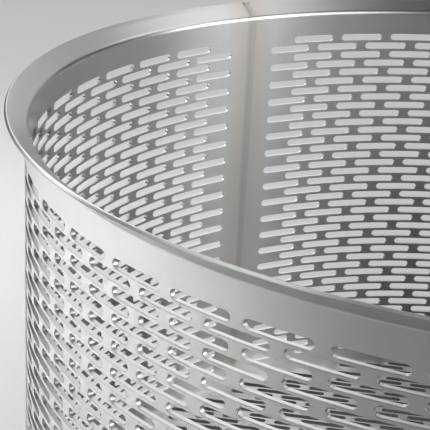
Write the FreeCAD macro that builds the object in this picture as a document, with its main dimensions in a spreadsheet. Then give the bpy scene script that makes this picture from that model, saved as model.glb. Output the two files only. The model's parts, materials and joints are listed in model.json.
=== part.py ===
"""Slotted stainless steel cheese mould.

The mould is a welded sheet metal vessel. A slotted sheet is rolled into a wall, its mouth is flared
outwards, and its two edges are butt welded down the -X side. The wall stands on a slotted bottom
plate, which a notched foot ring and two crossed bars hold clear of the table so that whey can drain.

Frame: millimetres, +Z up out of the mouth, origin at the centre of the foot ring's lower edge.
Every weld is a separate solid that meets the sheets it joins face to face.
"""
import FreeCAD, Part
import math
import os

import Sketcher

DIMENSIONS = [
    # alias, value, what it is
    ("inner_diameter", 350.0, "bore of the wall"),
    ("wall_thickness", 1.5, "sheet of the wall"),
    ("overall_height", 200.0, "table to the top of the rim"),
    ("rim_diameter", 366.6, "outside of the flared rim"),
    ("flare_angle", 52.0, "flare from the wall, degrees"),
    ("bend_radius", 1.5, "inside radius of the flare's bend"),
    ("slot_length", 20.0, "slot, end to end"),
    ("slot_width", 3.0, "slot, across"),
    ("slot_pitch", 24.0, "slot to slot along a row of the bottom plate"),
    ("row_pitch", 4.1, "row to row, with alternate rows half a pitch along"),
    ("slots_per_row", 45, "slots in a full row of the wall"),
    ("band_count", 20, "pairs of rows in the wall"),
    ("top_row_drop", 17.5, "top of the rim to the first row's middle"),
    ("seam_strip", 41.6, "between the last slots' middles, across the weld"),
    ("bottom_thickness", 1.5, "bottom plate, the same slotted sheet as the wall"),
    ("bottom_ledge", 2.0, "bottom plate beyond the wall"),
    ("bottom_margin", 6.0, "plain border inside the wall"),
    ("bottom_row_angle", 46.5, "rows of the bottom plate from +X, degrees"),
    ("foot_height", 15.0, "table to the underside of the bottom plate"),
    ("foot_diameter", 348.0, "outside of the foot ring"),
    ("foot_thickness", 3.0, "flat bar of the foot ring"),
    ("notch_width", 36.0, "drain notch in the foot ring"),
    ("notch_height", 8.0, "drain notch in the foot ring"),
    ("notch_count", 8, "drain notches"),
    ("bar_height", 10.0, "crossed bar under the bottom plate"),
    ("bar_thickness", 3.0, "crossed bar under the bottom plate"),
    ("weld_gap", 1.2, "between the butted edges of a rolled piece"),
    ("weld_width", 3.0, "butt weld, across"),
    ("weld_crown", 0.3, "butt weld, proud of the sheet where it is not ground flush"),
    ("fillet_leg", 1.8, "leg of a fillet weld"),
    ("stitch_length", 30.0, "one stitch of a fillet weld"),
    ("weld_end_margin", 1.0, "bar left bare at each end of its upright welds"),
]
SHEET = "Dimensions"

doc = FreeCAD.newDocument("cheese_mould")
sheet = doc.addObject("Spreadsheet::Sheet", SHEET)
for row, (alias, value, meaning) in enumerate(DIMENSIONS, start=1):
    sheet.set("A%d" % row, alias)
    sheet.set("B%d" % row, str(value))
    sheet.set("C%d" % row, meaning)
    sheet.setAlias("B%d" % row, alias)
doc.recompute()

size = {alias: getattr(sheet, alias) for alias, _, _ in DIMENSIONS}

UP = FreeCAD.Vector(0, 0, 1)
CENTRE = FreeCAD.Vector(0, 0, 0)

# Expressions that several objects share.
BORE = "Dimensions.inner_diameter / 2"
OUTSIDE = "(Dimensions.inner_diameter / 2 + Dimensions.wall_thickness)"
PLATE_TOP = "(Dimensions.foot_height + Dimensions.bottom_thickness)"
TOP_ROW = "(Dimensions.overall_height - Dimensions.top_row_drop)"
BANDS_TOP = "(" + TOP_ROW + " + Dimensions.row_pitch / 2)"
BANDS_FOOT = "(" + BANDS_TOP + " - 2 * Dimensions.row_pitch * Dimensions.band_count)"
BORE_GAP_ANGLE = "(Dimensions.weld_gap / (Dimensions.inner_diameter / 2) * 180 / pi)"
BORE_BEAD_ANGLE = "(Dimensions.weld_width / (Dimensions.inner_diameter / 2) * 180 / pi)"
RIM = "(Dimensions.rim_diameter / 2)"
LIP_RISE = "(Dimensions.wall_thickness * sin(Dimensions.flare_angle))"
FLARE_RISE = "((" + RIM + " - " + OUTSIDE + ") / tan(Dimensions.flare_angle))"
BEND_SETBACK = "(Dimensions.bend_radius * tan(Dimensions.flare_angle / 2))"
BEND_LEVEL = "Dimensions.overall_height - " + LIP_RISE + " - " + FLARE_RISE + " - " + BEND_SETBACK


def origin_feature(body, role):
    """A body's own origin plane or axis."""
    return next(item for item in body.Origin.OriginFeatures if item.Role == role)


def new_body(name):
    body = doc.addObject("PartDesign::Body", name)
    body.Label = name
    return body


def feature(name, shape):
    """A sub-part whose shape comes from Part's own functions."""
    item = doc.addObject("Part::Feature", name)
    item.Label = name
    item.Shape = shape
    return item


def polygon_sketch(body, name, plane, corners):
    """A closed polygon on an origin plane.

    Each corner is (expression along, expression up, rough along, rough up), none of them negative.
    """
    sketch = body.newObject("Sketcher::SketchObject", name)
    sketch.AttachmentSupport = [(origin_feature(body, plane), "")]
    sketch.MapMode = "FlatFace"
    count = len(corners)
    points = [FreeCAD.Vector(x, y, 0) for _, _, x, y in corners]
    for i in range(count):
        sketch.addGeometry(Part.LineSegment(points[i], points[(i + 1) % count]), False)
    for i in range(count):
        sketch.addConstraint(Sketcher.Constraint("Coincident", i, 2, (i + 1) % count, 1))
    for i, (along, up, x, y) in enumerate(corners):
        for kind, expression, value in (("DistanceX", along, x), ("DistanceY", up, y)):
            index = sketch.addConstraint(Sketcher.Constraint(kind, -1, 1, i, 1, value))
            sketch.setExpression("Constraints[%d]" % index, expression)
    return sketch


def revolve(body, sketch, name, angle):
    """Turn a profile round Z by an angle, an expression in degrees, half of it to each side."""
    turned = body.newObject("PartDesign::Revolution", name)
    turned.Profile = sketch
    turned.ReferenceAxis = (origin_feature(body, "Z_Axis"), [""])
    turned.Midplane = True
    turned.setExpression("Angle", angle)
    body.Tip = turned
    doc.recompute()
    return turned


# ---------------------------------------------------------------- the wall
def flared_profile(body, name, near, far, foot):
    """The wall's section from a level up, over the bend to the end of the flare.

    near and far are depths into the sheet from the bore, and foot is the lower end's height, all
    three as (expression, number). Both bends have one centre, so the sheet keeps its thickness.
    """
    bore = size["inner_diameter"] / 2
    tilt = math.radians(size["flare_angle"])
    along = FreeCAD.Vector(math.sin(tilt), math.cos(tilt), 0)
    across = FreeCAD.Vector(-math.cos(tilt), math.sin(tilt), 0)
    middle = FreeCAD.Vector(-1, 0, 0) + across
    middle = middle.normalize()
    reach = size["bend_radius"] + size["wall_thickness"]
    rim = size["rim_diameter"] / 2
    level = size["overall_height"] - size["wall_thickness"] * math.sin(tilt)
    level -= (rim - bore - size["wall_thickness"]) / math.tan(tilt)
    level -= size["bend_radius"] * math.tan(tilt / 2)
    centre = FreeCAD.Vector(bore + reach, level, 0)
    near_low = FreeCAD.Vector(bore + near[1], foot[1], 0)
    far_low = FreeCAD.Vector(bore + far[1], foot[1], 0)
    flare = (rim - (centre + across * (reach - far[1])).x) / math.sin(tilt)
    edges = {}
    for side, depth in (("near", near[1]), ("far", far[1])):
        radius = reach - depth
        start = centre + FreeCAD.Vector(-radius, 0, 0)
        end = centre + across * radius
        arc = Part.Arc(start, centre + middle * radius, end)
        edges[side] = (start, arc, end, end + along * flare)
    sketch = body.newObject("Sketcher::SketchObject", name)
    sketch.AttachmentSupport = [(origin_feature(body, "XZ_Plane"), "")]
    sketch.MapMode = "FlatFace"
    near_start, near_arc, near_end, near_lip = edges["near"]
    far_start, far_arc, far_end, far_lip = edges["far"]
    base = sketch.addGeometry(Part.LineSegment(near_low, far_low), False)
    far_wall = sketch.addGeometry(Part.LineSegment(far_low, far_start), False)
    far_bend = sketch.addGeometry(far_arc, False)
    far_flare = sketch.addGeometry(Part.LineSegment(far_end, far_lip), False)
    lip = sketch.addGeometry(Part.LineSegment(far_lip, near_lip), False)
    near_flare = sketch.addGeometry(Part.LineSegment(near_lip, near_end), False)
    near_bend = sketch.addGeometry(near_arc, False)
    near_wall = sketch.addGeometry(Part.LineSegment(near_start, near_low), False)
    START, END, MIDDLE = 1, 2, 3
    for kind, *where in (
        ("Coincident", base, END, far_wall, START),
        ("Coincident", far_flare, END, lip, START),
        ("Coincident", lip, END, near_flare, START),
        ("Coincident", near_wall, END, base, START),
        ("Coincident", far_bend, MIDDLE, near_bend, MIDDLE),
        ("Tangent", far_wall, END, far_bend, END),
        ("Tangent", far_bend, START, far_flare, START),
        ("Tangent", near_flare, END, near_bend, START),
        ("Tangent", near_bend, END, near_wall, START),
        ("Horizontal", base),
        ("Vertical", far_wall),
        ("Vertical", near_wall),
        ("Perpendicular", far_flare, lip),
        ("Parallel", far_flare, near_flare),
    ):
        sketch.addConstraint(Sketcher.Constraint(kind, *where))
    for kind, where, value, expression in (
        ("DistanceX", (-1, START, base, START), near_low.x, BORE + " + " + near[0]),
        ("DistanceX", (-1, START, base, END), far_low.x, BORE + " + " + far[0]),
        ("DistanceY", (-1, START, base, START), foot[1], foot[0]),
        ("DistanceX", (-1, START, far_flare, END), size["rim_diameter"] / 2, RIM),
        ("DistanceY", (-1, START, far_bend, MIDDLE), centre.y, BEND_LEVEL),
        ("DistanceX", (-1, START, far_bend, MIDDLE), centre.x, OUTSIDE + " + Dimensions.bend_radius"),
        ("Angle", (far_flare,), math.pi / 2 - tilt, "90 - Dimensions.flare_angle"),
    ):
        index = sketch.addConstraint(Sketcher.Constraint(kind, *where, value))
        sketch.setExpression("Constraints[%d]" % index, expression)
    return sketch


def mouth():
    """The plain band under the rim and the flare above it."""
    body = new_body("mouth")
    foot = size["overall_height"] - size["top_row_drop"] + size["row_pitch"] / 2
    sheet_far = ("Dimensions.wall_thickness", size["wall_thickness"])
    sketch = flared_profile(body, "mouth_profile", ("0", 0), sheet_far, (BANDS_TOP, foot))
    revolve(body, sketch, "mouth_turned", "360 - " + BORE_GAP_ANGLE)
    return body


def plain_ring(name, inner, outer, low, high, open_angle, guess):
    """A rolled flat ring with a gap at -X, from expressions and a rough (inner, outer, low, high)."""
    body = new_body(name)
    near, far, down, up = guess
    corners = [
        (inner, low, near, down),
        (outer, low, far, down),
        (outer, high, far, up),
        (inner, high, near, up),
    ]
    sketch = polygon_sketch(body, name + "_profile", "XZ_Plane", corners)
    revolve(body, sketch, name + "_turned", "360 - " + open_angle)
    return body


def slot_tools():
    """A cutter for every slot in one pair of rows: a full row, and a shorter row above it."""
    bore = size["inner_diameter"] / 2
    cutter = doc.addObject("Part::Box", "slot_cutter")
    cutter.setExpression("Length", "4 * Dimensions.wall_thickness")
    cutter.setExpression("Width", "Dimensions.slot_length")
    cutter.setExpression("Height", "Dimensions.slot_width")
    cutter.setExpression("Placement.Base.x", BORE + " - Dimensions.wall_thickness")
    cutter.setExpression("Placement.Base.y", "-Dimensions.slot_length / 2")
    cutter.setExpression("Placement.Base.z", TOP_ROW + " - Dimensions.slot_width / 2")
    doc.recompute()
    strip = math.degrees(size["seam_strip"] / bore)
    step = (360 - strip) / (size["slots_per_row"] - 1)
    cutters = []
    for drop, count, first in (
        (0, size["slots_per_row"] - 1, strip / 2 + step / 2),
        (size["row_pitch"], size["slots_per_row"], strip / 2),
    ):
        for place in range(int(count)):
            slot = cutter.Shape.translated(FreeCAD.Vector(0, 0, -drop))
            cutters.append(slot.rotate(CENTRE, UP, 180 + first + place * step))
    return feature("slot_cutters", Part.makeCompound(cutters)), len(cutters)


def slot_band():
    """One pair of rows cut through a short plain ring."""
    bore = size["inner_diameter"] / 2
    top = size["overall_height"] - size["top_row_drop"] + size["row_pitch"] / 2
    guess = (bore, bore + size["wall_thickness"], top - 2 * size["row_pitch"], top)
    low = BANDS_TOP + " - 2 * Dimensions.row_pitch"
    ring = plain_ring("band_blank", BORE, OUTSIDE, low, BANDS_TOP, BORE_GAP_ANGLE, guess)
    cutters, count = slot_tools()
    band = doc.addObject("Part::Cut", "slot_band")
    band.Base = ring
    band.Tool = cutters
    doc.recompute()
    one = size["slot_length"] * size["slot_width"] * size["wall_thickness"]
    removed = (ring.Shape.Volume - band.Shape.Volume) / one
    if abs(removed / count - 1) > 0.02:
        raise RuntimeError("the slot band has the wrong number of slots")
    print("wall has", count * size["band_count"], "slots")
    return band


def wall_foot():
    """The plain strip between the lowest row and the bottom plate."""
    bore = size["inner_diameter"] / 2
    low = size["foot_height"] + size["bottom_thickness"]
    high = low + size["row_pitch"]
    guess = (bore, bore + size["wall_thickness"], low, high)
    return plain_ring("wall_foot", BORE, OUTSIDE, PLATE_TOP, BANDS_FOOT, BORE_GAP_ANGLE, guess)


def is_level(face, level):
    """True for a flat face that lies at one height."""
    box = face.BoundBox
    return abs(box.ZMin - level) < 1e-4 and abs(box.ZMax - level) < 1e-4


def wall_sheet(top_part, band, foot_part):
    """Stack the band between the plain foot and the mouth, and join them into one sheet.

    One cut with every slot in it takes many minutes, so the band's faces are repeated instead and
    the level faces where the pieces meet are left out. The result is one closed solid.
    """
    band_height = 2 * size["row_pitch"]
    count = size["band_count"]
    band_top = band.Shape.BoundBox.ZMax
    bands_foot = band_top - band_height * count
    faces = [face for face in top_part.Shape.Faces if not is_level(face, band_top)]
    faces += [face for face in foot_part.Shape.Faces if not is_level(face, bands_foot)]
    open_faces = [
        face
        for face in band.Shape.Faces
        if not is_level(face, band_top) and not is_level(face, band_top - band_height)
    ]
    for step in range(count):
        down = FreeCAD.Vector(0, 0, -band_height * step)
        faces += [face.translated(down) for face in open_faces]
    shell = Part.makeShell(faces)
    shell.sewShape()
    return feature("wall_sheet", Part.makeSolid(shell))


# ---------------------------------------------------------------- shapes that repeat
def turned_profile(points, start, span):
    """Turn a polygon of (radius, height) round Z, from start degrees over span degrees."""
    corners = [FreeCAD.Vector(radius, 0, height) for radius, height in points]
    face = Part.Face(Part.makePolygon(corners + corners[:1]))
    face.rotate(CENTRE, UP, start)
    return face.revolve(CENTRE, UP, span)


def obround(length, width):
    """A round-ended outline that lies along X round the origin."""
    radius = width / 2
    half = length / 2 - radius
    right_low, right_high = FreeCAD.Vector(half, -radius, 0), FreeCAD.Vector(half, radius, 0)
    left_low, left_high = FreeCAD.Vector(-half, -radius, 0), FreeCAD.Vector(-half, radius, 0)
    return Part.Wire(
        [
            Part.makeLine(left_low, right_low),
            Part.Arc(right_low, FreeCAD.Vector(half + radius, 0, 0), right_high).toShape(),
            Part.makeLine(right_high, left_high),
            Part.Arc(left_high, FreeCAD.Vector(-half - radius, 0, 0), left_low).toShape(),
        ]
    )


def fillet_bead(corner, leg, other_leg, run):
    """A triangular bead from a corner, along a vector."""
    face = Part.Face(Part.makePolygon([corner, corner + leg, corner + other_leg, corner]))
    return face.extrude(run)


# ---------------------------------------------------------------- the wall's seam
def wall_seam_weld():
    """The bead down the whole wall and over the flare.

    It fills the gap between the sheet's edges, stands proud of the outer face, and is ground flush
    inside, where the curd lies.
    """
    body = new_body("wall_seam_weld")
    foot = (PLATE_TOP, size["foot_height"] + size["bottom_thickness"])
    sheet_face = ("Dimensions.wall_thickness", size["wall_thickness"])
    crown_face = (
        "Dimensions.wall_thickness + Dimensions.weld_crown",
        size["wall_thickness"] + size["weld_crown"],
    )
    filling = flared_profile(body, "seam_filling_profile", ("0", 0), sheet_face, foot)
    revolve(body, filling, "seam_filling", BORE_GAP_ANGLE)
    crown = flared_profile(body, "seam_crown_profile", sheet_face, crown_face, foot)
    revolve(body, crown, "seam_crown", BORE_BEAD_ANGLE)
    body.Placement = FreeCAD.Placement(CENTRE, FreeCAD.Rotation(UP, 180))
    doc.recompute()
    return body


# ---------------------------------------------------------------- the bottom plate
def bottom_plate():
    """A disc with the same staggered slots as the wall, inside a plain border."""
    level = size["foot_height"]
    radius = size["inner_diameter"] / 2 + size["wall_thickness"] + size["bottom_ledge"]
    field = size["inner_diameter"] / 2 - size["bottom_margin"]
    half, width = size["slot_length"] / 2, size["slot_width"] / 2
    pitch, step = size["slot_pitch"], size["row_pitch"]
    rows = int(field / step) + 1
    columns = int(field / pitch) + 1
    slot = obround(size["slot_length"], size["slot_width"])
    slots = [
        slot.translated(FreeCAD.Vector(along, row * step, level))
        for row in range(-rows, rows + 1)
        for along in [(column + row % 2 / 2) * pitch for column in range(-columns, columns + 1)]
        if math.hypot(abs(along) + half, abs(row * step) + width) < field
    ]
    print("bottom plate has", len(slots), "slots")
    rim = Part.Wire(Part.makeCircle(radius, FreeCAD.Vector(0, 0, level)))
    face = Part.makeFace([rim] + slots, "Part::FaceMakerBullseye")
    plate = feature("bottom_plate", face.extrude(FreeCAD.Vector(0, 0, size["bottom_thickness"])))
    plate.setExpression("Placement.Rotation.Angle", "Dimensions.bottom_row_angle")
    return plate


def wall_to_bottom_weld(seam):
    """A fillet all round, in the corner between the wall and the plate's ledge."""
    outside = size["inner_diameter"] / 2 + size["wall_thickness"]
    top = size["foot_height"] + size["bottom_thickness"]
    leg = size["fillet_leg"]
    bead = turned_profile([(outside, top), (outside + leg, top), (outside, top + leg)], 0, 360)
    return feature("wall_to_bottom_weld", bead.cut(seam.Shape))


# ---------------------------------------------------------------- the foot
def foot_ring():
    """A rolled flat bar on edge, with round-cornered drain notches in its lower edge."""
    outer = "Dimensions.foot_diameter / 2"
    inner = outer + " - Dimensions.foot_thickness"
    radius = size["foot_diameter"] / 2
    guess = (radius - size["foot_thickness"], radius, 0, size["foot_height"])
    gap = "(Dimensions.weld_gap / (" + outer + ") * 180 / pi)"
    ring = plain_ring("foot_blank", inner, outer, "0", "Dimensions.foot_height", gap, guess)
    arch = Part.Face(obround(size["notch_width"], 2 * size["notch_height"]))
    arch.rotate(CENTRE, FreeCAD.Vector(1, 0, 0), 90)
    arch.rotate(CENTRE, UP, 90)
    arch.translate(FreeCAD.Vector(radius - 2 * size["foot_thickness"], 0, 0))
    cutter = arch.extrude(FreeCAD.Vector(3 * size["foot_thickness"], 0, 0))
    step = 360 / size["notch_count"]
    cutters = []
    for place in range(int(size["notch_count"])):
        cutters.append(cutter.copy().rotate(CENTRE, UP, (place + 0.5) * step))
    notched = doc.addObject("Part::Cut", "foot_ring")
    notched.Base = ring
    notched.Tool = feature("notch_cutters", Part.makeCompound(cutters))
    doc.recompute()
    return notched


def foot_seam_weld(ring):
    """The bead that fills the foot ring's gap at -X and stands proud of both of its faces."""
    outer = size["foot_diameter"] / 2
    near = outer - size["foot_thickness"] - size["weld_crown"]
    far = outer + size["weld_crown"]
    top = size["foot_height"]
    span = math.degrees(size["weld_width"] / outer)
    section = [(near, 0), (far, 0), (far, top), (near, top)]
    bead = turned_profile(section, 180 - span / 2, span)
    return feature("foot_ring_seam_weld", bead.cut(ring.Shape))


def foot_stitch_welds():
    """Stitches that hold the ring to the underside of the bottom plate, one above each notch."""
    outer = size["foot_diameter"] / 2
    top = size["foot_height"]
    leg = size["fillet_leg"]
    span = math.degrees(size["stitch_length"] / outer)
    step = 360 / size["notch_count"]
    section = [(outer, top), (outer + leg, top), (outer, top - leg)]
    beads = [
        turned_profile(section, (place + 0.5) * step - span / 2, span)
        for place in range(int(size["notch_count"]))
    ]
    return feature("foot_stitch_welds", Part.makeCompound(beads))


# ---------------------------------------------------------------- the crossed bars
def crossed_bar(name, angle, lap_low):
    """A flat bar on edge inside the foot ring, halved at its middle. lap_low puts the notch below."""
    blank = doc.addObject("Part::Box", name + "_blank")
    blank.setExpression("Length", "Dimensions.foot_diameter")
    blank.setExpression("Width", "Dimensions.bar_thickness")
    blank.setExpression("Height", "Dimensions.bar_height")
    blank.setExpression("Placement.Base.x", "-Dimensions.foot_diameter / 2")
    blank.setExpression("Placement.Base.y", "-Dimensions.bar_thickness / 2")
    blank.setExpression("Placement.Base.z", "Dimensions.foot_height - Dimensions.bar_height")
    inside = doc.addObject("Part::Cylinder", name + "_reach")
    inside.setExpression("Radius", "Dimensions.foot_diameter / 2 - Dimensions.foot_thickness")
    inside.setExpression("Height", "Dimensions.foot_height")
    fitted = doc.addObject("Part::Common", name + "_fitted")
    fitted.Base, fitted.Tool = blank, inside
    lap = doc.addObject("Part::Box", name + "_lap")
    lap.setExpression("Length", "Dimensions.bar_thickness")
    lap.setExpression("Width", "Dimensions.bar_thickness * 2")
    lap.setExpression("Height", "Dimensions.bar_height")
    lap.setExpression("Placement.Base.x", "-Dimensions.bar_thickness / 2")
    lap.setExpression("Placement.Base.y", "-Dimensions.bar_thickness")
    middle = "Dimensions.foot_height - Dimensions.bar_height / 2"
    lap.setExpression("Placement.Base.z", middle + (" - Dimensions.bar_height" if lap_low else ""))
    bar = doc.addObject("Part::Cut", name)
    bar.Base, bar.Tool = fitted, lap
    bar.Placement = FreeCAD.Placement(CENTRE, FreeCAD.Rotation(UP, angle))
    doc.recompute()
    return bar


def bar_welds(ring, angles):
    """The bars' beads: upright ones at the ring, and short ones along the plate's underside."""
    inner = size["foot_diameter"] / 2 - size["foot_thickness"]
    half = size["bar_thickness"] / 2
    top = size["foot_height"]
    leg = size["fillet_leg"]
    margin = size["weld_end_margin"]
    low = top - size["bar_height"] + margin
    upright = FreeCAD.Vector(0, 0, top - leg - margin - low)
    run = FreeCAD.Vector(size["stitch_length"], 0, 0)
    end_beads, plate_beads = [], []
    for angle in angles:
        for turn in (angle, angle + 180):
            for side in (1, -1):
                sideways = FreeCAD.Vector(0, side * leg, 0)
                corner = FreeCAD.Vector(inner + margin, side * half, low)
                inward = FreeCAD.Vector(-leg - margin, 0, 0)
                wedge = fillet_bead(corner, inward, sideways, upright)
                end_beads.append(wedge.rotate(CENTRE, UP, turn).cut(ring.Shape))
                start = FreeCAD.Vector(inner / 2, side * half, top)
                down = FreeCAD.Vector(0, 0, -leg)
                plate_beads.append(fillet_bead(start, sideways, down, run).rotate(CENTRE, UP, turn))
    return (
        feature("bar_end_welds", Part.makeCompound(end_beads)),
        feature("bar_to_plate_welds", Part.makeCompound(plate_beads)),
    )


# ---------------------------------------------------------------- build, check and write
BAR_ANGLES = (45, 135)

mouth_part = mouth()
band = slot_band()
wall = wall_sheet(mouth_part, band, wall_foot())
seam = wall_seam_weld()
ring = foot_ring()
bars = [
    crossed_bar("cross_bar_lower", BAR_ANGLES[0], False),
    crossed_bar("cross_bar_upper", BAR_ANGLES[1], True),
]
nodes = [
    wall,
    seam,
    bottom_plate(),
    wall_to_bottom_weld(seam),
    ring,
    foot_seam_weld(ring),
    foot_stitch_welds(),
    *bars,
    *bar_welds(ring, BAR_ANGLES),
]
doc.recompute()

for item in doc.Objects:
    if "Invalid" in item.State or "Error" in item.State:
        raise RuntimeError(item.Name + " failed: " + str(item.State))
os.makedirs("parts", exist_ok=True)
for item in nodes:
    if item.Shape.isNull() or not item.Shape.isValid() or not item.Shape.Solids:
        raise RuntimeError(item.Label + " is not a valid solid")
for item in nodes:
    item.Shape.exportStep("parts/" + item.Label + ".step")
    print(item.Label, len(item.Shape.Solids), "solids", round(item.Shape.Volume), "mm3")
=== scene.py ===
"""Looks of the slotted stainless cheese mould.

Metres, in the CAD model's frame: +Z up out of the mouth, the weld seam down the -X side. The wall
sheet is rebuilt with round-ended slots and softened edges, and the seam's weld with its ripples.
The other CAD nodes stay, with procedural steel.
"""
import json
import math

import bpy
import numpy as np
from mathutils import Matrix, Vector


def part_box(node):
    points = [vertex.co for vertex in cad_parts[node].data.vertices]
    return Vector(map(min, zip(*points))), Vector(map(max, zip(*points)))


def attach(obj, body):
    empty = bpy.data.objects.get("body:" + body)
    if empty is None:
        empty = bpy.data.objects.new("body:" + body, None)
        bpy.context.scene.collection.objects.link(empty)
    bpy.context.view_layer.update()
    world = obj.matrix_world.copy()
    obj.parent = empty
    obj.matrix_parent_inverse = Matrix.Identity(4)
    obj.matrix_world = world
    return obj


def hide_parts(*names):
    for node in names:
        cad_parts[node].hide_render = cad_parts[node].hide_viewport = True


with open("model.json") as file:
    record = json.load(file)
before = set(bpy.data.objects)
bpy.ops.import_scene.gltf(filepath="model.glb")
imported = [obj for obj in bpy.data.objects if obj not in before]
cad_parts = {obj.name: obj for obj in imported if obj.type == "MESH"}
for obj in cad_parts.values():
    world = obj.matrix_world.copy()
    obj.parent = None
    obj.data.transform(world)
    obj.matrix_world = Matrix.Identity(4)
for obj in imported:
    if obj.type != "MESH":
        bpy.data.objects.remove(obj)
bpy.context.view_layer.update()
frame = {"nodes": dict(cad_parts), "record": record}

scene = bpy.context.scene
MM = 0.001

# ---------------------------------------------------------------- sizes
MOUTH = next(mount for mount in frame["record"]["mounts"] if mount["name"] == "mouth")
WALL_LOW, WALL_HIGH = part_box("wall_sheet")
BORE = MOUTH["dims"]["r_mm"] * MM
RIM = min(WALL_HIGH.x, WALL_HIGH.y)
TOP = WALL_HIGH.z
PLATE_TOP = WALL_LOW.z
SHEET = 1.5 * MM
SLOT_LENGTH = 20 * MM
SLOT_WIDTH = 3 * MM
SLOT_EDGE = 0.18 * MM  # softened edge round the outside of each slot
ROW_PITCH = 4.1 * MM
ROWS = 40
SLOTS_PER_ROW = 45  # in a full row; every other row has one fewer
TOP_ROW = TOP - 17.5 * MM
SEAM_STRIP = 41.6 * MM / BORE  # angle between the last slots' middles, across the weld
SLOT_STEP = (math.tau - SEAM_STRIP) / (SLOTS_PER_ROW - 1)
SEAM_GAP = 1.2 * MM / BORE
SEAM_AT = math.pi
FLARE = math.radians(52)  # flare from the wall
BEND_RADIUS = 1.5 * MM
LIP_RADIUS = 0.35 * MM  # rounded edges of the rim
LIP_BAND = 2.2 * MM  # dressed strip along the edge of the flare
LIP_TILT = math.radians(2.5)  # of the dressed strip to the flare
BEND_STEPS, LIP_STEPS = 8, 5


# ---------------------------------------------------------------- a mesh from its corners
SHEET_FACE, CUT_FACE = 0, 1  # kinds of face: rolled surface, and the cut edge of the sheet


class Skin:
    """Collects faces by their corners and normals, then joins the corners that meet."""

    def __init__(self):
        self.corners, self.normals, self.sides, self.kinds = [], [], [], []

    def add(self, corners, normals, sides, kinds=SHEET_FACE):
        """Faces as arrays: each corner and its normal, and each face's sides and kind."""
        self.corners.append(np.asarray(corners, float).reshape(-1, 3))
        self.normals.append(np.asarray(normals, float).reshape(-1, 3))
        self.sides.append(np.asarray(sides, int).reshape(-1))
        self.kinds.append(np.broadcast_to(kinds, self.sides[-1].shape))

    def build(self, name):
        corners = np.concatenate(self.corners)
        normals = np.concatenate(self.normals)
        sides = np.concatenate(self.sides)
        keys = np.round(corners / 1e-7).astype(np.int64)
        _, first, where = np.unique(keys, axis=0, return_index=True, return_inverse=True)
        mesh = bpy.data.meshes.new(name)
        mesh.vertices.add(len(first))
        mesh.vertices.foreach_set("co", corners[first].astype(np.float32).ravel())
        mesh.loops.add(len(corners))
        mesh.loops.foreach_set("vertex_index", where.reshape(-1).astype(np.int32))
        mesh.polygons.add(len(sides))
        starts = np.concatenate([[0], np.cumsum(sides)[:-1]])
        mesh.polygons.foreach_set("loop_start", starts.astype(np.int32))
        mesh.polygons.foreach_set("material_index", np.concatenate(self.kinds).astype(np.int32))
        mesh.update(calc_edges=True)
        mesh.validate()
        mesh.normals_split_custom_set(normals.tolist())
        obj = bpy.data.objects.new(name, mesh)
        scene.collection.objects.link(obj)
        return obj


def on_cylinder(points, normals):
    """Points (angle, depth from the bore, height) and normals alike, turned into x, y, z."""
    angle, depth, height = np.moveaxis(np.asarray(points, float), -1, 0)
    turn, out, up = np.moveaxis(np.asarray(normals, float), -1, 0)
    cos, sin = np.cos(angle), np.sin(angle)
    placed = np.stack([(BORE + depth) * cos, (BORE + depth) * sin, height], -1)
    turned = np.stack([out * cos - turn * sin, out * sin + turn * cos, up], -1)
    return placed, turned


# ---------------------------------------------------------------- one slot and its cell of sheet
ARC_STEPS = 5  # round each end of a slot; cell_plan is laid out for five


def slot_outline(grow):
    """The slot's outline, anticlockwise from outside, as (along, up, outward along, outward up)."""
    radius = SLOT_WIDTH / 2
    reach = SLOT_LENGTH / 2 - radius
    points = []
    for side, start in ((1, -math.pi / 2), (-1, math.pi / 2)):
        for i in range(ARC_STEPS + 1):
            turn = start + math.pi * i / ARC_STEPS
            cos, sin = math.cos(turn), math.sin(turn)
            away = radius + grow
            points.append((side * reach + away * cos, away * sin, cos, sin))
        points.append((0, side * (radius + grow), 0, side))
    return points


def cell_plan(border, side):
    """The cell's faces between its border and the slot, anticlockwise from outside.

    A corner is a number: first come the border's, then the slot's, with side on each half of it.
    """

    def hole(k):
        return border + k % (2 * side)

    plan = [
        (1, 2, hole(-1), hole(-2)),
        (2, 3, hole(0), hole(-1)),
        (6, 7, hole(side - 1), hole(side - 2)),
        (7, 8, hole(side), hole(side - 1)),
    ]
    for low, arc in ((3, 0), (8, side)):
        high, top, after = low + 1, (low + 2) % border, (low + 3) % border
        plan += [
            (low, high, hole(arc)),
            (high, hole(arc + 1), hole(arc)),
            (high, hole(arc + 2), hole(arc + 1)),
            (high, top, hole(arc + 3), hole(arc + 2)),
            (top, hole(arc + 4), hole(arc + 3)),
            (top, hole(arc + 5), hole(arc + 4)),
            (top, after, hole(arc + 5)),
        ]
    return plan


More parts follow.
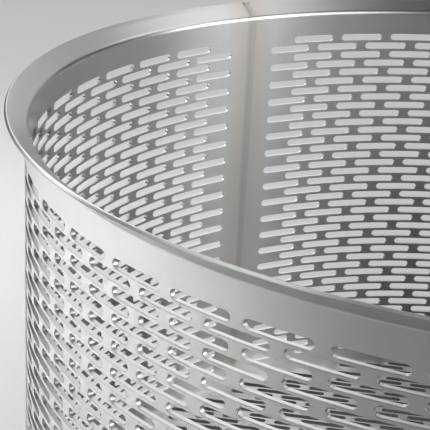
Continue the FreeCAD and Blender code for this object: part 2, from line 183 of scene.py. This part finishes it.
def cell_faces():
    """One cell of slotted sheet round the origin, as points and normals (angle, depth, height)."""
    quarter, half = SLOT_STEP / 4, ROW_PITCH / 2
    border = [(k * quarter, -half) for k in (-2, -1, 0, 1, 2)]
    border += [(k * quarter, half) for k in (2, 1, 0, -1, -2)]
    side = ARC_STEPS + 2  # points of the outline on each half of the slot
    plan = cell_plan(len(border), side)
    points, normals, sides, kinds = [], [], [], []
    for depth, grow, facing in ((SHEET, SLOT_EDGE, 1), (0, 0, -1)):
        corners = border + [(along / BORE, up) for along, up, _, _ in slot_outline(grow)]
        for face in plan:
            points += [(corners[k][0], depth, corners[k][1]) for k in face[::facing]]
            normals += [(0, facing, 0)] * len(face)
            sides.append(len(face))
            kinds.append(SHEET_FACE)
    # Rings round the slot, from outside in: the outline, its depth, and whether it faces out.
    rings = (
        (slot_outline(SLOT_EDGE), SHEET, True),
        (slot_outline(0), SHEET - SLOT_EDGE, False),
        (slot_outline(0), 0, False),
    )
    for upper, lower in zip(rings, rings[1:]):
        for i in range(2 * side):
            j = (i + 1) % (2 * side)
            for (ring, depth, faces_out), k in ((upper, i), (upper, j), (lower, j), (lower, i)):
                along, up, away, rise = ring[k]
                points.append((along / BORE, depth, up))
                normals.append((0, 1, 0) if faces_out else (-away, 0, -rise))
            sides.append(4)
            kinds.append(CUT_FACE)
    return np.array(points), np.array(normals, float), np.array(sides), np.array(kinds)


def add_slots(skin):
    """Every slot's cell, row by row."""
    points, normals, sides, kinds = cell_faces()
    for row in range(ROWS):
        height = TOP_ROW - row * ROW_PITCH
        short = row % 2 == 0
        count = SLOTS_PER_ROW - short
        first = SEAM_AT + SEAM_STRIP / 2 + SLOT_STEP / 2 * short
        for place in range(count):
            moved = points + (first + place * SLOT_STEP, 0, height)
            skin.add(*on_cylinder(moved, normals), sides, kinds)


# ---------------------------------------------------------------- the plain parts of the sheet
def stations():
    """The angles of the sheet's columns, from one edge of the seam's gap round to the other."""
    start = SEAM_STRIP / 2 - SLOT_STEP / 2
    inner = [start + k * SLOT_STEP / 4 for k in range(4 * SLOTS_PER_ROW + 1)]
    return [SEAM_AT + angle for angle in [SEAM_GAP / 2, *inner, math.tau - SEAM_GAP / 2]]


def add_band(skin, start, end, low, high):
    """One quad of plain sheet on the outer face and one on the inner."""
    for depth, facing in ((SHEET, 1), (0, -1)):
        points = [(start, depth, low), (end, depth, low), (end, depth, high), (start, depth, high)]
        skin.add(*on_cylinder(points[::facing], [(0, facing, 0)] * 4), [4])


def add_edge(skin, angle, facing, low, high):
    """The sheet's cut edge at the seam's gap."""
    points = [(angle, 0, low), (angle, SHEET, low), (angle, SHEET, high), (angle, 0, high)]
    skin.add(*on_cylinder(points[::facing], [(-facing, 0, 0)] * 4), [4])


# The mouth's section is in (depth from the bore, height). Directions in it are turns from +depth.
def direction(turn):
    return np.array([math.cos(turn), math.sin(turn)])


def flare_bend():
    """The bend's centre, and the flare's length from the bend to the rim."""
    foot = TOP - SHEET * math.sin(FLARE) - (RIM - BORE - SHEET) / math.tan(FLARE)
    centre = np.array([BEND_RADIUS + SHEET, foot - BEND_RADIUS * math.tan(FLARE / 2)])
    start = centre[0] - BEND_RADIUS * math.cos(FLARE)
    return centre, (RIM - BORE - start) / math.sin(FLARE)


def straight_stretch(point, turn):
    return [(point, direction(turn), direction(turn))]


def arc_stretches(centre, radius, start, sweep, steps, facing=1):
    turns = [start - sweep * i / steps for i in range(steps + 1)]
    return [
        (centre + radius * direction(turn), facing * direction(turn), facing * direction(after))
        for turn, after in zip(turns, turns[1:])
    ]


def mouth_section():
    """The flared mouth's section, from the bore up over the lip and down the outside.

    Each item is a stretch's first point, and the normals at its start and at its end.
    """
    low = TOP_ROW + ROW_PITCH / 2
    outer = BEND_RADIUS + SHEET
    centre, length = flare_bend()
    quarter_turn = math.pi / 2
    facing_up = math.pi - FLARE  # the flare's upper face
    dressed = facing_up - LIP_TILT
    along, across = direction(quarter_turn - FLARE), direction(facing_up)
    bend_end = centre + outer * across
    upper_lip = bend_end + along * length
    lower_lip = upper_lip - across * SHEET
    crease = upper_lip - along * LIP_BAND
    sunk = -across * LIP_BAND * math.tan(LIP_TILT)
    upper = upper_lip + sunk - along * LIP_RADIUS - across * LIP_RADIUS
    lower = lower_lip - along * LIP_RADIUS + across * LIP_RADIUS
    facing_out, facing_down = dressed - quarter_turn, facing_up - math.pi

    section = straight_stretch(np.array([0, low]), math.pi)
    section += arc_stretches(centre, outer, math.pi, FLARE, BEND_STEPS)
    section += straight_stretch(bend_end, facing_up)
    section += straight_stretch(crease, dressed)
    section += arc_stretches(upper, LIP_RADIUS, dressed, quarter_turn, LIP_STEPS)
    section += straight_stretch(upper + LIP_RADIUS * direction(facing_out), facing_out)
    start = facing_up - quarter_turn
    section += arc_stretches(lower, LIP_RADIUS, start, quarter_turn, LIP_STEPS)
    section += straight_stretch(lower + LIP_RADIUS * direction(facing_down), facing_down)
    section += arc_stretches(centre, BEND_RADIUS, facing_up, -FLARE, BEND_STEPS, -1)
    section += straight_stretch(centre + BEND_RADIUS * direction(math.pi), 0)
    section.append((np.array([SHEET, low]), None, None))
    return section


def add_seam_strip(skin, columns):
    """The plain sheet beside the seam, row by row, and its cut edges."""
    for row in range(ROWS):
        high = TOP_ROW + ROW_PITCH / 2 - row * ROW_PITCH
        low = high - ROW_PITCH
        plain = 3 if row % 2 == 0 else 1  # columns of plain sheet on each side
        for k in [*range(plain), *range(len(columns) - 1 - plain, len(columns) - 1)]:
            add_band(skin, columns[k], columns[k + 1], low, high)
        add_edge(skin, columns[0], 1, low, high)
        add_edge(skin, columns[-1], -1, low, high)


def add_foot(skin, columns):
    """The plain band under the slots, down to the bottom plate."""
    high = TOP_ROW + ROW_PITCH / 2 - ROWS * ROW_PITCH
    for start, end in zip(columns, columns[1:]):
        add_band(skin, start, end, PLATE_TOP, high)
        foot = [(start, 0), (end, 0), (end, SHEET), (start, SHEET)]
        foot = [(angle, depth, PLATE_TOP) for angle, depth in foot]
        skin.add(*on_cylinder(foot, [(0, 0, -1)] * 4), [4])
    add_edge(skin, columns[0], 1, PLATE_TOP, high)
    add_edge(skin, columns[-1], -1, PLATE_TOP, high)


def add_mouth(skin, columns):
    """The flared mouth, closed at the seam's gap."""
    section = mouth_section()
    for (point, first, last), (after, _, _) in zip(section, section[1:]):
        for start, end in zip(columns, columns[1:]):
            points = [(start, *point), (start, *after), (end, *after), (end, *point)]
            normals = [(0, *first), (0, *last), (0, *last), (0, *first)]
            skin.add(*on_cylinder(points, normals), [4])
    for angle, facing in ((columns[0], 1), (columns[-1], -1)):
        cap = [(angle, *point) for point, _, _ in section][::-facing]
        skin.add(*on_cylinder(cap, [(-facing, 0, 0)] * len(cap)), [len(cap)])


def build_wall():
    skin = Skin()
    columns = stations()
    add_slots(skin)
    add_seam_strip(skin, columns)
    add_foot(skin, columns)
    add_mouth(skin, columns)
    return skin.build("slotted_wall")


wall = build_wall()
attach(wall, "root")
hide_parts("wall_sheet")


# ---------------------------------------------------------------- the seam's weld
BEAD_HALF = 1.5 * MM
BEAD_CROWN = 0.28 * MM
FLUSH_HALF = 1.25 * MM  # inside, where the weld is ground down
FLUSH_CROWN = 0.06 * MM
BEAD_SUNK = 0.02 * MM  # the bead's edges, below the sheet's faces
RIPPLE_PITCH = 1.1 * MM
BEAD_STEP = 0.22 * MM
CROWN_STEPS, FLUSH_STEPS = 8, 6
# Share of the bead that is there between two ripples, and what a ripple adds.
CROWN_RIPPLE = (0.62, 0.38)
WIDTH_RIPPLE = (0.9, 0.07)
FLUSH_RIPPLE = (0.7, 0.3)
# The bead wanders sideways in two waves: how far, over what length, and where it starts.
WANDER = ((0.08 * MM, 9 * MM, 0), (0.05 * MM, 3.7 * MM, 1))


def bead_ring(way):
    """The bead's section at a distance along the seam, as (sideways, depth in the sheet)."""
    ripple = abs(math.sin(math.pi * way / RIPPLE_PITCH))
    wander = sum(far * math.sin(way / length + start) for far, length, start in WANDER)
    crown, half, flush = (
        full * (base + extra * ripple)
        for full, (base, extra) in (
            (BEAD_CROWN, CROWN_RIPPLE),
            (BEAD_HALF, WIDTH_RIPPLE),
            (FLUSH_CROWN, FLUSH_RIPPLE),
        )
    )
    ring = []
    for k in range(CROWN_STEPS + 1):
        across = -1 + 2 * k / CROWN_STEPS
        rise = crown * (1 - across * across) - BEAD_SUNK
        ring.append((across * (half + wander), SHEET + rise))
    for k in range(FLUSH_STEPS + 1):
        across = 1 - 2 * k / FLUSH_STEPS
        rise = flush * (1 - across * across) - BEAD_SUNK
        ring.append((across * (FLUSH_HALF + wander), -rise))
    return ring


def build_seam():
    """A bead that fills the gap, rippled outside and ground nearly flush inside."""
    centre, flare = flare_bend()
    reach = BEND_RADIUS + SHEET
    straight = centre[1] - PLATE_TOP
    bend = FLARE * (BEND_RADIUS + SHEET / 2)
    total = straight + bend + flare - LIP_RADIUS
    count = int(total / BEAD_STEP)
    rings = []
    for i in range(count + 1):
        way = total * i / count
        turn = min(max((way - straight) / bend, 0), 1) * FLARE
        out = direction(-turn)
        if way < straight:
            base = np.array([0.0, PLATE_TOP + way])
        else:
            base = centre - reach * out
        if way >= straight + bend:
            base = base + (way - straight - bend) * direction(math.pi / 2 - FLARE)
        rings.append([(side / BORE, *(base + out * depth)) for side, depth in bead_ring(way)])
    rings = np.array(rings) + (SEAM_AT, 0, 0)
    placed, _ = on_cylinder(rings, np.zeros_like(rings))
    size = placed.shape[1]
    faces = []
    for i in range(count):
        for k in range(size):
            j = (k + 1) % size
            faces.append((i * size + k, i * size + j, (i + 1) * size + j, (i + 1) * size + k))
    faces.append(tuple(range(size))[::-1])
    faces.append(tuple(count * size + k for k in range(size)))
    mesh = bpy.data.meshes.new("seam_bead")
    mesh.from_pydata(placed.reshape(-1, 3).tolist(), [], faces)
    mesh.shade_smooth()
    mesh.validate()
    obj = bpy.data.objects.new("seam_bead", mesh)
    scene.collection.objects.link(obj)
    return obj


seam = build_seam()
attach(seam, "root")
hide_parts("wall_seam_weld")


# ---------------------------------------------------------------- materials
STREAK_SCALE, CLOUD_SCALE = 450, 22  # noise cells in a metre, across the grain
STREAK_STRETCH, CLOUD_STRETCH = 0.02, 0.3  # along the grain
STREAK_DETAIL, CLOUD_DETAIL = 1, 4
NOISE_ROUGHNESS = 0.55
ROUGH_CLOUD = (0.2, 0.8)  # the clouds' values at the smoothest and the roughest steel
TINT_CLOUD = (0.3, 0.7)  # and where the heat tint strays least and most


def new_material(name):
    material = bpy.data.materials.new(name)
    material.use_nodes = True
    nodes, links = material.node_tree.nodes, material.node_tree.links
    return material, nodes, links, nodes["Principled BSDF"]


def math_node(nodes, links, operation, first, second=None):
    node = nodes.new("ShaderNodeMath")
    node.operation = operation
    for socket, value in zip(node.inputs, (first, second)):
        if value is None:
            continue
        if isinstance(value, (int, float)):
            socket.default_value = value
        else:
            links.new(value, socket)
    return node.outputs[0]


def noise(nodes, links, vector, scale, detail):
    node = nodes.new("ShaderNodeTexNoise")
    node.inputs["Scale"].default_value = scale
    node.inputs["Detail"].default_value = detail
    node.inputs["Roughness"].default_value = NOISE_ROUGHNESS
    links.new(vector, node.inputs["Vector"])
    return node.outputs["Fac"]


def mapped(nodes, links, vector, socket, value):
    node = nodes.new("ShaderNodeMapping")
    node.inputs[socket].default_value = value
    links.new(vector, node.inputs["Vector"])
    return node.outputs["Vector"]


def remap(nodes, links, value, low, high, to_low, to_high):
    node = nodes.new("ShaderNodeMapRange")
    node.inputs["From Min"].default_value = low
    node.inputs["From Max"].default_value = high
    node.inputs["To Min"].default_value = to_low
    node.inputs["To Max"].default_value = to_high
    links.new(value, node.inputs["Value"])
    return node.outputs["Result"]


def mix_colour(nodes, links, factor, first, second):
    node = nodes.new("ShaderNodeMix")
    node.data_type = "RGBA"
    links.new(factor, node.inputs["Factor"])
    for socket, value in ((node.inputs["A"], first), (node.inputs["B"], second)):
        if isinstance(value, tuple):
            socket.default_value = value
        else:
            links.new(value, socket)
    return node.outputs["Result"]


def rolled_space(nodes, links, axes):
    """The point of the bore above or below, so that grain runs straight up and out over the flare."""
    x, y, z = axes
    plan = nodes.new("ShaderNodeCombineXYZ")
    links.new(x, plan.inputs["X"])
    links.new(y, plan.inputs["Y"])
    unit = nodes.new("ShaderNodeVectorMath")
    unit.operation = "NORMALIZE"
    links.new(plan.outputs[0], unit.inputs[0])
    bore = nodes.new("ShaderNodeVectorMath")
    bore.operation = "SCALE"
    bore.inputs["Scale"].default_value = BORE
    links.new(unit.outputs[0], bore.inputs[0])
    lift = nodes.new("ShaderNodeCombineXYZ")
    links.new(z, lift.inputs["Z"])
    total = nodes.new("ShaderNodeVectorMath")
    total.operation = "ADD"
    links.new(bore.outputs[0], total.inputs[0])
    links.new(lift.outputs[0], total.inputs[1])
    return total.outputs[0]


# Heat tint beside the seam: full at the first distance from it, gone at the second.
HEAT_TINTS = (
    (3 * MM, 13 * MM, 0.6, (0.44, 0.39, 0.335, 1)),
    (1.4 * MM, 2.5 * MM, 0.5, (0.31, 0.31, 0.285, 1)),
)
TINT_WANDER = 1 * MM


def heat_tint(nodes, links, base, axes, cloud):
    """The base colour, tinted by the weld on the wall's -X side."""
    x, y, _ = axes
    side = math_node(nodes, links, "ABSOLUTE", y)
    this_side = math_node(nodes, links, "LESS_THAN", x, 0.0)
    wobble = remap(nodes, links, cloud, *TINT_CLOUD, -TINT_WANDER, TINT_WANDER)
    away = math_node(nodes, links, "ADD", side, wobble)
    for full, gone, strength, colour in HEAT_TINTS:
        share = remap(nodes, links, away, full, gone, 1, 0)
        share = math_node(nodes, links, "MULTIPLY", share, this_side)
        share = math_node(nodes, links, "MULTIPLY", share, strength)
        base = mix_colour(nodes, links, share, base, colour)
    return base


def steel(name, colour, shade, roughness, worn, lay=None, tint=False, metallic=1.0):
    """Stainless: faint streaks along its lay, cloudy roughness, and a heat tint at the seam.

    lay is the angle of a flat piece's brushing from +X, or None for a rolled wall. worn is how
    far the roughness strays to both sides.
    """
    material, nodes, links, shader = new_material(name)
    coordinates = nodes.new("ShaderNodeTexCoord").outputs["Object"]
    split = nodes.new("ShaderNodeSeparateXYZ")
    links.new(coordinates, split.inputs[0])
    axes = tuple(split.outputs)
    if lay is None:
        space = rolled_space(nodes, links, axes)
        streak_space = mapped(nodes, links, space, "Scale", (1, 1, STREAK_STRETCH))
    else:
        space = coordinates
        streak_space = mapped(nodes, links, space, "Rotation", (0, 0, -lay))
        streak_space = mapped(nodes, links, streak_space, "Scale", (STREAK_STRETCH, 1, 1))
    streak = noise(nodes, links, streak_space, STREAK_SCALE, STREAK_DETAIL)
    cloud_space = mapped(nodes, links, space, "Scale", (1, 1, CLOUD_STRETCH))
    cloud = noise(nodes, links, cloud_space, CLOUD_SCALE, CLOUD_DETAIL)
    base = mix_colour(nodes, links, streak, shade, colour)
    if tint:
        base = heat_tint(nodes, links, base, axes, cloud)
    links.new(base, shader.inputs["Base Color"])
    shader.inputs["Metallic"].default_value = metallic
    rough = remap(nodes, links, cloud, *ROUGH_CLOUD, roughness - worn, roughness + worn)
    links.new(rough, shader.inputs["Roughness"])
    return material


def paint(obj, material):
    obj.data.materials.clear()
    obj.data.materials.append(material)


# Brushing of the flat pieces, from +X.
PLATE_LAY = math.radians(46.5)
BAR_LAYS = {"cross_bar_lower": math.radians(45), "cross_bar_upper": math.radians(135)}
# Each steel: its colour, the shade of its streaks, its roughness, and how far that strays.
WALL_LOOK = ((0.53, 0.53, 0.527, 1), (0.495, 0.497, 0.497, 1), 0.3, 0.02)
CUT_LOOK_AND_HIGHLIGHT = ((0.84, 0.82, 0.8, 1), (0.8, 0.78, 0.76, 1), 0.75, 0.03)  # matt as a cut edge, and paler than the steel: painted highlight on the slots' ledges and softened edges
PLATE_LOOK = ((0.53, 0.53, 0.525, 1), (0.49, 0.49, 0.49, 1), 0.3, 0.03)
BAR_LOOK = ((0.51, 0.51, 0.505, 1), (0.47, 0.47, 0.47, 1), 0.34, 0.03)
WELD_LOOK = ((0.4, 0.392, 0.37, 1), (0.35, 0.345, 0.33, 1), 0.36, 0.03)
wall_steel = steel("wall_steel", *WALL_LOOK, tint=True)
cut_steel_and_highlight = steel("cut_steel_and_highlight", *CUT_LOOK_AND_HIGHLIGHT, metallic=0.0)
plate_steel = steel("plate_steel", *PLATE_LOOK, lay=PLATE_LAY)
ring_steel = steel("ring_steel", *BAR_LOOK)
weld_metal = steel("weld_metal", *WELD_LOOK)

paint(wall, wall_steel)
# the cut faces: matt, with a pale colour that paints the highlight on the slots' ledges and softened
# edges
wall.data.materials.append(cut_steel_and_highlight)
paint(seam, weld_metal)
paint(frame["nodes"]["bottom_plate"], plate_steel)
paint(frame["nodes"]["foot_ring"], ring_steel)
for name, lay in BAR_LAYS.items():
    paint(frame["nodes"][name], steel(name + "_steel", *BAR_LOOK, lay=lay))
for name in (
    "wall_to_bottom_weld",
    "foot_ring_seam_weld",
    "foot_stitch_welds",
    "bar_end_welds",
    "bar_to_plate_welds",
):
    paint(frame["nodes"][name], weld_metal)

# ---------------------------------------------------------------- the table it stands on
FLOOR_HALF = 4.0
FLOOR_COLOUR, FLOOR_ROUGHNESS = (0.55, 0.558, 0.566, 1), 0.6
floor_mesh = bpy.data.meshes.new("floor")
floor_corners = [
    (x * FLOOR_HALF, y * FLOOR_HALF, 0) for x, y in ((-1, -1), (1, -1), (1, 1), (-1, 1))
]
floor_mesh.from_pydata(floor_corners, [], [(0, 1, 2, 3)])
floor = bpy.data.objects.new("floor", floor_mesh)
scene.collection.objects.link(floor)
floor_material, _, _, floor_shader = new_material("floor")
floor_shader.inputs["Base Color"].default_value = FLOOR_COLOUR
floor_shader.inputs["Roughness"].default_value = FLOOR_ROUGHNESS
paint(floor, floor_material)


# ---------------------------------------------------------------- light
def softbox(name, at, aim, size, watts, colour=(1, 1, 1)):
    light = bpy.data.lights.new(name, "AREA")
    light.shape = "RECTANGLE"
    light.size = light.size_y = size
    light.energy = watts
    light.color = colour
    obj = bpy.data.objects.new(name, light)
    obj.location = at
    obj.rotation_euler = (Vector(aim) - Vector(at)).to_track_quat("-Z", "Y").to_euler()
    scene.collection.objects.link(obj)
    return obj


def round_the_mould(azimuth, distance, height):
    angle = math.radians(azimuth)
    return (distance * math.cos(angle), distance * math.sin(angle), height)


# Soft panels round the mould: name, azimuth and elevation in degrees, watts and colour.
WHITE, COOL = (1, 1, 1), (0.96, 0.98, 1)
PANELS = (
    ("right_low", 45, 18, 18.5, COOL),
    ("right", 20, 34, 6.1, COOL),
    ("back_right", 90, 50, 4.0, WHITE),
    ("back", 135, 50, 1.0, WHITE),
    ("back_low", 135, 18, 1.7, WHITE),
    ("back_left", 160, 34, 3.6, WHITE),
    ("left", 200, 34, 8.5, WHITE),
    ("front_left", 250, 50, 4.4, WHITE),
    ("front_high", 311, 54, 1.4, COOL),
)
PANEL_DISTANCE = 1.6
PANEL_SIZE = 0.9
PANEL_AIM = (0, 0, 0.1)
for name, azimuth, elevation, watts, colour in PANELS:
    rise = math.radians(elevation)
    reach, height = PANEL_DISTANCE * math.cos(rise), PANEL_DISTANCE * math.sin(rise)
    at = round_the_mould(azimuth, reach, height)
    softbox(name, at, PANEL_AIM, PANEL_SIZE, watts, colour)

# Soft pools of light on the table to the mould's left, from nearly straight above.
POOLS = (("pool_left", 205, 1.1), ("pool_front", 240, 2.7))
POOL_SIZE = 0.35
POOL_OUT, POOL_HEIGHT = 0.62, 0.9
POOL_AIM_OUT = 0.6
POOL_SPREAD = math.radians(45)
for name, azimuth, watts in POOLS:
    above = round_the_mould(azimuth, POOL_OUT, POOL_HEIGHT)
    below = round_the_mould(azimuth, POOL_AIM_OUT, 0)
    pool = softbox(name, above, below, POOL_SIZE, watts)
    pool.data.spread = POOL_SPREAD

SKY_COLOUR, SKY_STRENGTH = (0.9, 0.95, 1, 1), 0.03
world = bpy.data.worlds.new("studio")
world.use_nodes = True
scene.world = world
sky = world.node_tree.nodes["Background"]
sky.inputs["Color"].default_value = SKY_COLOUR
sky.inputs["Strength"].default_value = SKY_STRENGTH
scene.view_settings.view_transform = "Standard"

# ---------------------------------------------------------------- camera
CAMERA_AT = Vector((0.2985, -0.3397, 0.3239))
CAMERA_AIM = Vector((-0.0314, -0.1135, 0.17))
CAMERA_ROLL = math.radians(3.0)
CAMERA_LENS, CAMERA_SENSOR = 111.5, 36
camera_data = bpy.data.cameras.new("camera")
camera_data.sensor_width = CAMERA_SENSOR
camera_data.lens = CAMERA_LENS
camera = bpy.data.objects.new("camera", camera_data)
aim = (CAMERA_AIM - CAMERA_AT).to_track_quat("-Z", "Y").to_matrix().to_4x4()
camera.matrix_world = Matrix.Translation(CAMERA_AT) @ aim @ Matrix.Rotation(CAMERA_ROLL, 4, "Z")
scene.collection.objects.link(camera)
scene.camera = camera
